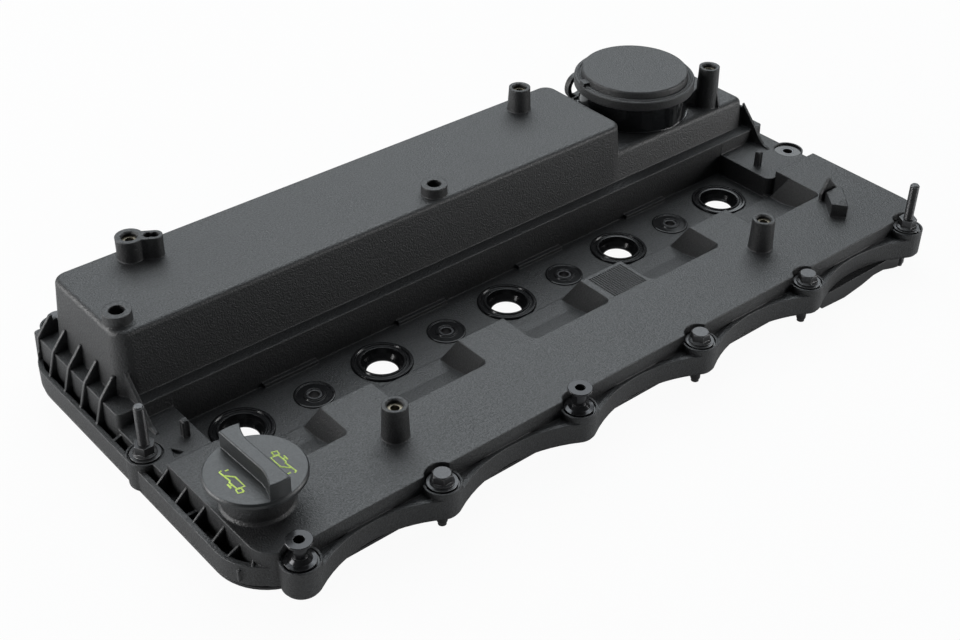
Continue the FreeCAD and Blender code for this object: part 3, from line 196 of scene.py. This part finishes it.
def moulded(name, dark, light, worn_and_highlit, smooth, rough, fineness, depth, radius,
            fleck=0.92, metallic=0.0, specular=0.5):
    """A grained finish between two shades, with paler edges: partly wear, partly painted
    highlight.

    Roughness runs from smooth to rough, the relief is depth metres deep, edges
    look rounded by radius metres, and the dark specks fall to fleck.
    """
    finish = bpy.data.materials.new(name)
    finish.use_nodes = True
    nodes = finish.node_tree.nodes
    join = finish.node_tree.links.new
    shader = nodes["Principled BSDF"]
    shader.inputs["Metallic"].default_value = metallic
    shader.inputs["Specular IOR Level"].default_value = specular
    pattern = nodes.new("ShaderNodeGroup")
    pattern.node_tree = grain
    pattern.inputs["Fineness"].default_value = fineness
    rim = nodes.new("ShaderNodeGroup")
    rim.node_tree = edge
    rim.inputs["Radius"].default_value = radius
    shade = nodes.new("ShaderNodeMix")
    shade.data_type = "RGBA"
    shade.inputs["A"].default_value = (*dark, 1)
    shade.inputs["B"].default_value = (*light, 1)
    # Paler colour on the edges that the Edge mask finds: partly wear, partly a painted
    # highlight.
    wear_and_highlight = nodes.new("ShaderNodeMix")
    wear_and_highlight.data_type = "RGBA"
    wear_and_highlight.inputs["B"].default_value = (*worn_and_highlit, 1)
    gloss = nodes.new("ShaderNodeMapRange")
    gloss.inputs["From Min"].default_value = 0.3
    gloss.inputs["From Max"].default_value = 0.7
    gloss.inputs["To Min"].default_value = smooth
    gloss.inputs["To Max"].default_value = rough
    speck = nodes.new("ShaderNodeMix")
    speck.data_type = "RGBA"
    speck.blend_type = "MULTIPLY"
    speck.inputs["B"].default_value = (fleck, fleck, fleck, 1)
    uneven = nodes.new("ShaderNodeMath")
    uneven.operation = "MULTIPLY_ADD"
    uneven.inputs[1].default_value = 0.2 * (1 - fleck)
    relief = nodes.new("ShaderNodeMath")
    relief.operation = "MULTIPLY_ADD"
    relief.inputs[1].default_value = 1 - fleck
    bump = nodes.new("ShaderNodeBump")
    bump.inputs["Strength"].default_value = 0.5
    bump.inputs["Distance"].default_value = depth
    join(pattern.outputs["Mottle"], shade.inputs["Factor"])
    join(pattern.outputs["Speckle"], speck.inputs["Factor"])
    join(shade.outputs["Result"], speck.inputs["A"])
    join(speck.outputs["Result"], wear_and_highlight.inputs["A"])
    join(rim.outputs["Edge"], wear_and_highlight.inputs["Factor"])
    join(wear_and_highlight.outputs["Result"], shader.inputs["Base Color"])
    join(pattern.outputs["Height"], gloss.inputs["Value"])
    join(pattern.outputs["Speckle"], uneven.inputs[0])
    join(gloss.outputs["Result"], uneven.inputs[2])
    join(uneven.outputs[0], shader.inputs["Roughness"])
    join(pattern.outputs["Height"], relief.inputs[2])
    join(pattern.outputs["Speckle"], relief.inputs[0])
    join(relief.outputs[0], bump.inputs["Height"])
    join(rim.outputs["Normal"], bump.inputs["Normal"])
    join(bump.outputs["Normal"], shader.inputs["Normal"])
    return finish


def give(finish, *names):
    """Gives a finish to carried-over solids."""
    for name in names:
        solids[name].material_slots[0].material = finish


nylon = moulded("black_nylon", dark=(0.009, 0.0097, 0.0106), light=(0.014, 0.0150, 0.0165),
                worn_and_highlit=(0.028, 0.029, 0.032), smooth=0.38, rough=0.52, fineness=1400.0,
                depth=0.00034, radius=0.0012, fleck=0.3, specular=0.75)
give(nylon, "separator_baffle", "breather_lid")

# Cover body: one moulding of the same nylon. The mould's insert for the
# breather neck is polished, so that band of it is smooth and glossy.
neck_middle = (0.175, 0.0675, 0.069)
neck_inside, neck_outside = 0.0384, 0.0388      # distances from the neck's axis
band_full, band_end = 0.0096, 0.0102            # heights from the band's middle
neck_roughness = 0.13
neck_relief = 0.5
body_nylon = nylon.copy()
body_nylon.name = "black_nylon_with_polished_neck"
give(body_nylon, "cover_body")
nodes = body_nylon.node_tree.nodes
join = body_nylon.node_tree.links.new
shader = nodes["Principled BSDF"]
place = nodes.new("ShaderNodeTexCoord")
from_neck = nodes.new("ShaderNodeMapping")
from_neck.inputs["Location"].default_value = [-along for along in neck_middle]
flattened = nodes.new("ShaderNodeVectorMath")
flattened.operation = "MULTIPLY"
flattened.inputs[1].default_value = (1, 1, 0)
reach = nodes.new("ShaderNodeVectorMath")
reach.operation = "LENGTH"
near = nodes.new("ShaderNodeMapRange")
near.inputs["From Min"].default_value = neck_outside
near.inputs["From Max"].default_value = neck_inside
level = nodes.new("ShaderNodeSeparateXYZ")
height = nodes.new("ShaderNodeMath")
height.operation = "ABSOLUTE"
band = nodes.new("ShaderNodeMapRange")
band.inputs["From Min"].default_value = band_end
band.inputs["From Max"].default_value = band_full
neck = nodes.new("ShaderNodeMath")
neck.operation = "MULTIPLY"
join(place.outputs["Object"], from_neck.inputs["Vector"])
join(from_neck.outputs["Vector"], flattened.inputs[0])
join(flattened.outputs["Vector"], reach.inputs[0])
join(reach.outputs["Value"], near.inputs["Value"])
join(from_neck.outputs["Vector"], level.inputs["Vector"])
join(level.outputs["Z"], height.inputs[0])
join(height.outputs[0], band.inputs["Value"])
join(near.outputs["Result"], neck.inputs[0])
join(band.outputs["Result"], neck.inputs[1])
for socket, plain in ((shader.inputs["Roughness"], neck_roughness),
                      (nodes["Bump"].inputs["Height"], neck_relief)):
    swap = nodes.new("ShaderNodeMix")
    swap.inputs["B"].default_value = plain
    join(socket.links[0].from_socket, swap.inputs["A"])
    join(neck.outputs[0], swap.inputs["Factor"])
    join(swap.outputs["Result"], socket)

# Boss pockets: the tray's wall goes round each bolt as a hollow of the same
# moulding. These curved walls close it towards the space under the tray.
boss_row = (-0.240, -0.1515, -0.0545, 0.0425, 0.1395, 0.240)
boss_y = -0.125
pocket_radius = 0.00953
pocket_wall = 0.0018
pocket_floor, pocket_top = 0.0145, 0.0322
wall_starts = 0.0058            # behind the bolt's axis
bpy.ops.mesh.primitive_cylinder_add(vertices=96, radius=pocket_radius,
                                    depth=pocket_top - pocket_floor, end_fill_type="NOTHING",
                                    location=(0, boss_y, (pocket_floor + pocket_top) / 2))
wall = bpy.context.object
bpy.ops.object.transform_apply(location=True)
bpy.ops.object.mode_set(mode="EDIT")
bpy.ops.mesh.select_all(action="SELECT")
bpy.ops.mesh.bisect(plane_co=(0, boss_y + wall_starts, 0), plane_no=(0, 1, 0), clear_inner=True)
bpy.ops.object.mode_set(mode="OBJECT")
shell = wall.modifiers.new("wall", "SOLIDIFY")
shell.thickness = pocket_wall
shell.offset = 1.0
bpy.ops.object.modifier_apply(modifier=shell.name)
bpy.ops.object.shade_smooth_by_angle(angle=math.radians(30))
walls = []
for boss_x in boss_row:
    twin = wall.copy()
    twin.data = wall.data.copy()
    twin.data.transform(Matrix.Translation((boss_x, 0, 0)))
    bpy.context.collection.objects.link(twin)
    walls.append(twin)
bpy.data.objects.remove(wall)
bpy.ops.object.select_all(action="DESELECT")
for twin in walls:
    twin.select_set(True)
bpy.context.view_layer.objects.active = walls[0]
bpy.ops.object.join()
pocket_walls = bpy.context.object
pocket_walls.name = "boss_pocket_walls"
pocket_walls.data.materials.append(nylon)
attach(pocket_walls, "cover")
pocket_walls.select_set(False)


# Moat ribs: upright blades of the moulding that stiffen the gap between the
# skirt and the tray's left wall, each sloping up from the skirt to the wall.
def web(outline, thickness, place, turn=0.0):
    """An upright plate: its outline as (along, height) pairs in millimetres."""
    edge_round = 0.00025
    drawn = bpy.data.curves.new("web", "CURVE")
    drawn.dimensions = "2D"
    drawn.fill_mode = "BOTH"
    drawn.extrude = thickness / 2 - edge_round
    drawn.bevel_depth = edge_round
    drawn.bevel_resolution = 1
    drawn.offset = -edge_round
    spline = drawn.splines.new("POLY")
    spline.points.add(len(outline) - 1)
    for knot, (along, height) in zip(spline.points, outline):
        knot.co = (along / 1000, height / 1000, 0, 1)
    spline.use_cyclic_u = True
    plate = bpy.data.objects.new("web", drawn)
    bpy.context.collection.objects.link(plate)
    bpy.context.view_layer.objects.active = plate
    plate.select_set(True)
    bpy.ops.object.convert(target="MESH")
    plate = bpy.context.object
    bpy.ops.object.mode_set(mode="EDIT")
    bpy.ops.mesh.select_all(action="SELECT")
    bpy.ops.mesh.remove_doubles(threshold=0.00002)
    bpy.ops.mesh.normals_make_consistent(inside=False)
    bpy.ops.object.mode_set(mode="OBJECT")
    plate.data.transform(Matrix.Translation((*place, 0)) @ Matrix.Rotation(turn, 4, "Z")
                         @ Matrix.Rotation(math.pi / 2, 4, "X"))
    plate.select_set(False)
    return plate


def moulded_on(plates, name):
    """Makes plates one piece, of the cover's nylon and fixed to it."""
    for plate in plates:
        plate.select_set(True)
    bpy.context.view_layer.objects.active = plates[0]
    if len(plates) > 1:
        bpy.ops.object.join()
    piece = bpy.context.object
    piece.name = name
    piece.data.materials.clear()
    piece.data.materials.append(nylon)
    bpy.ops.object.shade_smooth_by_angle(angle=math.radians(30))
    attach(piece, "cover")
    piece.select_set(False)


moat_x = -0.2609
moat_floor = 16.0
skirt_top = 25.3
moat_rib_width = 0.0015
blades = []
for rib_y, rib_top in ((-0.0298, 32.5), (-0.0481, 32.5), (-0.0657, 32.2), (-0.0837, 31.8),
                       (-0.0972, 29.5)):
    outline = ((-4.0, moat_floor), (-4.0, skirt_top), (4.0, rib_top), (4.0, moat_floor))
    blades.append(web(outline, moat_rib_width, (moat_x, rib_y)))
corner_outline = ((-4.2, moat_floor), (-4.2, skirt_top), (4.2, 30.0), (4.2, moat_floor))
blades.append(web(corner_outline, moat_rib_width, (-0.2561, -0.1083), math.radians(45)))
moulded_on(blades, "moat_ribs")

# End blades: five ribs of the moulding that stand against the separator
# housing's left wall and run down over the ledge to the skirt's top edge.
blade_width = 0.0021
blade_floor = 17.0
blade_top = 51.6
over_ledge = (-260.8, 40.4)
at_wall, in_wall = -251.9, -250.2
ledge_edge, ledge_level = -259.0, 37.5
blades = []
for rib_y, foot in ((0.0335, -265.0), (0.0517, -265.0), (0.0699, -265.0), (0.0881, -265.0),
                    (0.1063, -262.4)):
    outline = ((foot, blade_floor), (foot, skirt_top), over_ledge, (at_wall, blade_top),
               (in_wall, blade_top), (in_wall, ledge_level), (ledge_edge, ledge_level),
               (ledge_edge, blade_floor))
    blades.append(web(outline, blade_width, (0, rib_y)))
moulded_on(blades, "end_blades")

# End gusset: the upright web at the right of the deck, moulded on, runs on
# into the deck's rounded corner. This is the part between its back and the wall.
gusset_x = 0.2476
gusset_foot, gusset_top = 35.5, 52.4
gusset_outline = ((27.2, gusset_foot), (27.2, gusset_top), (30.5, gusset_top), (36.2, 49.4),
                  (36.2, gusset_foot))
moulded_on([web(gusset_outline, blade_width, (gusset_x, 0), math.pi / 2)], "end_gusset")

# Rubber: perimeter gasket, seals and grommets, pressed into their grooves and
# seats. Smoother and darker than the nylon, as moulded rubber is.
rubber = moulded("black_rubber", dark=(0.006, 0.006, 0.007), light=(0.011, 0.011, 0.012),
                 worn_and_highlit=(0.020, 0.020, 0.021), smooth=0.16, rough=0.24, fineness=1300.0,
                 depth=0.000004, radius=0.0004)
give(rubber, "perimeter_gasket", "boss_grommets", "cap_seal", "breather_diaphragm",
     *["injector_seal_%d" % n for n in range(1, 6)],
     *["valley_grommet_%d" % n for n in range(1, 5)])

# Fasteners: bolts, studs, nuts and washers of steel with a dark phosphate
# coat, oiled, with bright corners, partly wear and partly painted highlight.
# They are captive in the grommets.
phosphate = moulded("dark_phosphated_steel", dark=(0.06, 0.06, 0.062), light=(0.10, 0.10, 0.102),
                    worn_and_highlit=(0.28, 0.28, 0.28), smooth=0.30, rough=0.42, fineness=1400.0,
                    depth=0.00002, radius=0.0004, fleck=0.8, metallic=0.85)
give(phosphate, "washers", "hex_bolts", "stud_nut_left", "stud_nut_right")

# Studs: two of the same steel, one at each end of the cover, each held by its
# nut. The rolled M6 thread, 1 mm in pitch, is a relief in the finish.
thread_pitch = 0.001
thread = bpy.data.node_groups.new("m6_thread", "ShaderNodeTree")
thread.interface.new_socket("Pitch", in_out="INPUT", socket_type="NodeSocketFloat")
thread.interface.new_socket("Height", in_out="OUTPUT", socket_type="NodeSocketFloat")
ends = thread.nodes.new("NodeGroupInput")
out = thread.nodes.new("NodeGroupOutput")
place = thread.nodes.new("ShaderNodeTexCoord")
upright = thread.nodes.new("ShaderNodeSeparateXYZ")
turns = thread.nodes.new("ShaderNodeMath")
turns.operation = "DIVIDE"
flank = thread.nodes.new("ShaderNodeMath")
flank.operation = "PINGPONG"
flank.inputs[1].default_value = 0.5
thread.links.new(place.outputs["Object"], upright.inputs["Vector"])
thread.links.new(upright.outputs["Z"], turns.inputs[0])
thread.links.new(ends.outputs["Pitch"], turns.inputs[1])
thread.links.new(turns.outputs[0], flank.inputs[0])
thread.links.new(flank.outputs[0], out.inputs["Height"])


def threaded(finish, name):
    """A copy of a finish with the thread's flanks in its relief."""
    cut = finish.copy()
    cut.name = name
    nodes = cut.node_tree.nodes
    flanks = nodes.new("ShaderNodeGroup")
    flanks.node_tree = thread
    flanks.inputs["Pitch"].default_value = thread_pitch
    ridge = nodes.new("ShaderNodeBump")
    ridge.inputs["Strength"].default_value = 0.8
    ridge.inputs["Distance"].default_value = 0.0006
    shader = nodes["Principled BSDF"]
    before = shader.inputs["Normal"].links[0].from_socket
    cut.node_tree.links.new(flanks.outputs["Height"], ridge.inputs["Height"])
    cut.node_tree.links.new(before, ridge.inputs["Normal"])
    cut.node_tree.links.new(ridge.outputs["Normal"], shader.inputs["Normal"])
    return cut


give(threaded(phosphate, "threaded_dark_steel"), "stud_left", "stud_right")

# Spools: two flanged bolts turned from steel, with a polished black finish,
# screwed down through front bosses like the hexagon bolts.
polished = moulded("polished_black_steel", dark=(0.03, 0.03, 0.032), light=(0.05, 0.05, 0.052),
                   worn_and_highlit=(0.12, 0.12, 0.12), smooth=0.12, rough=0.20, fineness=1200.0,
                   depth=0.000004, radius=0.0003, metallic=0.7)
give(polished, "spool_left", "spool_middle")

# Sleeves and spring: plain zinc-plated steel. The sleeves are pressed into the
# grommets, and the spring stands in the breather valve.
zinc = moulded("zinc_plated_steel", dark=(0.10, 0.10, 0.105), light=(0.16, 0.16, 0.165),
               worn_and_highlit=(0.34, 0.34, 0.34), smooth=0.25, rough=0.42, fineness=700.0,
               depth=0.00003, radius=0.0003, metallic=1.0)
give(zinc, "valley_sleeves", "boss_sleeves", "breather_spring")

# Threaded inserts: brass pressed into the posts, darkened in colour as a
# painted shade for the posts' holes, with the same M6 thread as the studs.
shaded_brass = moulded("brass_with_painted_shade", dark=(0.15, 0.135, 0.105), light=(0.22, 0.195, 0.15),
                worn_and_highlit=(0.40, 0.36, 0.28), smooth=0.28, rough=0.45, fineness=700.0,
                depth=0.00003, radius=0.0003, metallic=1.0)
give(threaded(shaded_brass, "threaded_brass_with_painted_shade"), "insert_post_a", "insert_post_b", "insert_post_c",
     "insert_post_d", "insert_pair_boss")

# Breather plunger: pale acetal, moulded smooth, held between the diaphragm
# and the spring under the lid.
acetal = moulded("pale_acetal", dark=(0.42, 0.42, 0.40), light=(0.52, 0.52, 0.50),
                 worn_and_highlit=(0.6, 0.6, 0.58), smooth=0.3, rough=0.45, fineness=500.0,
                 depth=0.00003, radius=0.0004)
give(acetal, "breather_plunger")

# Oil filler cap: a slightly bluer nylon than the cover's, with a fine matte
# grain, locked in the filler neck by a quarter turn.
cap_nylon = moulded("grey_cap_nylon", dark=(0.009, 0.0108, 0.012), light=(0.014, 0.0165, 0.018),
                    worn_and_highlit=(0.045, 0.050, 0.054), smooth=0.33, rough=0.46, fineness=1100.0,
                    depth=0.00012, radius=0.0009, fleck=0.7, specular=0.65)
give(cap_nylon, "oil_filler_cap")

# Oil-can marks: two pad-printed pictograms on the cap's disc, one turned half
# round from the other, in a thick yellow-green ink with rounded edges.
ink = bpy.data.materials.new("yellow_green_ink")
ink.use_nodes = True
nodes = ink.node_tree.nodes
join = ink.node_tree.links.new
shader = nodes["Principled BSDF"]
pattern = nodes.new("ShaderNodeGroup")
pattern.node_tree = grain
pattern.inputs["Fineness"].default_value = 1800.0
print_tone = nodes.new("ShaderNodeMix")
print_tone.data_type = "RGBA"
print_tone.inputs["A"].default_value = (0.40, 0.56, 0.055, 1)
print_tone.inputs["B"].default_value = (0.58, 0.74, 0.13, 1)
sheen = nodes.new("ShaderNodeMapRange")
sheen.inputs["To Min"].default_value = 0.35
sheen.inputs["To Max"].default_value = 0.55
relief = nodes.new("ShaderNodeBump")
relief.inputs["Strength"].default_value = 0.3
relief.inputs["Distance"].default_value = 0.00004
join(pattern.outputs["Speckle"], print_tone.inputs["Factor"])
join(print_tone.outputs["Result"], shader.inputs["Base Color"])
join(pattern.outputs["Mottle"], sheen.inputs["Value"])
join(sheen.outputs["Result"], shader.inputs["Roughness"])
join(pattern.outputs["Height"], relief.inputs["Height"])
join(relief.outputs["Normal"], shader.inputs["Normal"])

# The can is drawn in millimetres: its handle, its body with the spout, the
# knob's stem, the knob, and the drop.
can = (((-5.6, 13.8), (-3.2, 13.6), (-2.6, 16.0), (-5.0, 16.2), (-5.6, 13.8)),
       ((11.3, 15.2), (10.7, 16.3), (3.8, 15.2), (2.8, 15.9), (-2.2, 15.3), (-2.9, 11.8),
        (4.6, 12.3), (7.7, 15.5)),
       ((0.6, 15.7), (0.8, 16.9)),
       ((2.4, 17.1), (-0.8, 17.1)),
       ((10.1, 12.4), (10.2, 14.0)))
can_size = 1.18
can_middle = (2.8, 14.3)
mark_places = ((1, (-1.6, 13.4)), (-1, (4.0, 13.2)))
strokes = bpy.data.curves.new("oil_can", "CURVE")
strokes.dimensions = "3D"
strokes.bevel_depth = 0.00052
strokes.bevel_resolution = 2
strokes.use_fill_caps = True
for half_turn, (middle_u, middle_v) in mark_places:
    for path in can:
        spline = strokes.splines.new("POLY")
        spline.points.add(len(path) - 1)
        for knot, (along, across) in zip(spline.points, path):
            knot.co = (half_turn * (middle_u + can_size * (along - can_middle[0])) / 1000,
                       half_turn * (middle_v + can_size * (across - can_middle[1])) / 1000, 0, 1)
marks = bpy.data.objects.new("oil_can_marks", strokes)
bpy.context.collection.objects.link(marks)
bpy.context.view_layer.objects.active = marks
marks.select_set(True)
bpy.ops.object.convert(target="MESH")
marks = bpy.context.object
disc_middle = (-0.235, -0.081, 0.0551)
marks_turn = math.radians(86.6)
ink_height = 0.3                # a stroke's height for its width
marks.data.transform(Matrix.Translation(disc_middle) @ Matrix.Rotation(marks_turn, 4, "Z")
                     @ Matrix.Diagonal((1, 1, ink_height, 1)))
bpy.ops.object.mode_set(mode="EDIT")
bpy.ops.mesh.select_all(action="SELECT")
bpy.ops.mesh.remove_doubles(threshold=0.00002)
bpy.ops.mesh.normals_make_consistent(inside=False)
bpy.ops.object.mode_set(mode="OBJECT")
bpy.ops.object.shade_smooth_by_angle(angle=math.radians(50))
marks.data.materials.clear()
marks.data.materials.append(ink)
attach(marks, "cap")
marks.select_set(False)
